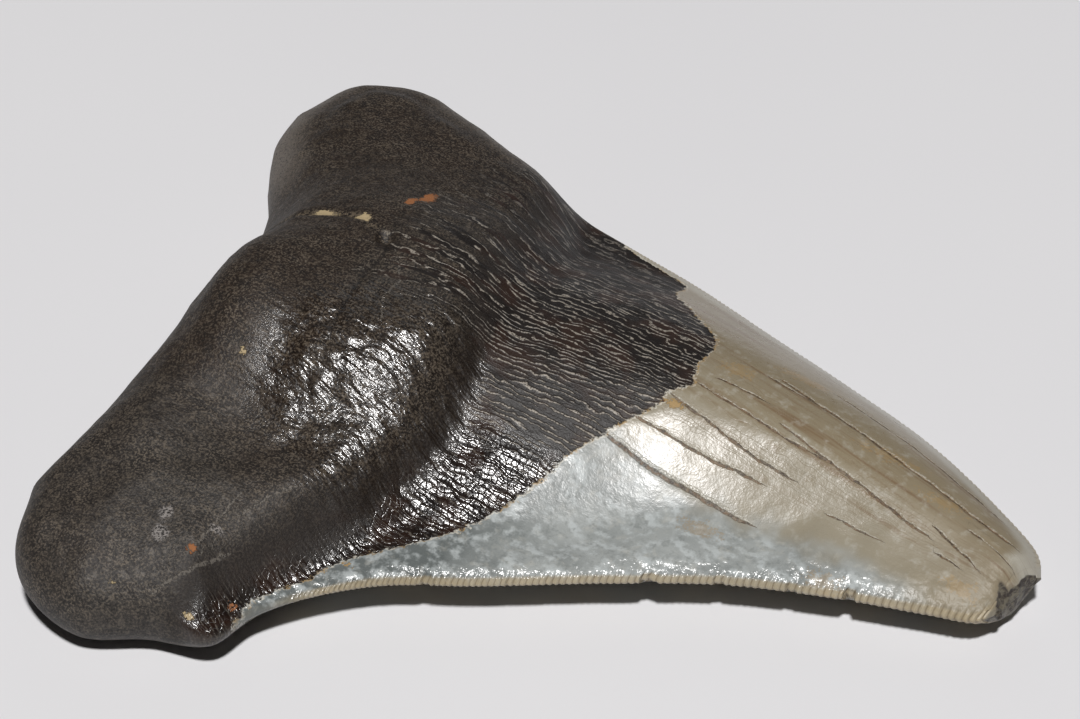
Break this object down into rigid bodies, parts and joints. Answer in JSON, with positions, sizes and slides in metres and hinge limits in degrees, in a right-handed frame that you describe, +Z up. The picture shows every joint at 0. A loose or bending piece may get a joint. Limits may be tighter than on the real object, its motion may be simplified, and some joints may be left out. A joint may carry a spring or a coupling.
{
  "type": "megalodon tooth",
  "caption": "Fossil shark tooth with a dark domed root, a striated neck and a pale triangular crown with finely serrated cutting edges and a chipped tip.",
  "frame": {"origin": "on the resting plane, below the middle of the tooth's length and width", "axes": "+X from the root to the tip of the crown, +Y to the mesial cutting edge, +Z up out of the lingual face; the labial face rests on the plane"},
  "size_m": [0.1016, 0.0906, 0.0216],
  "materials": {
    "fossil": "mineralised root in satin brown-black, glossy black striated neck, and glossy grey-beige enamel crown with dark hairline cracks"
  },
  "bodies": {
    "root": {"tooth": "fossil"}
  },
  "joints": []
}
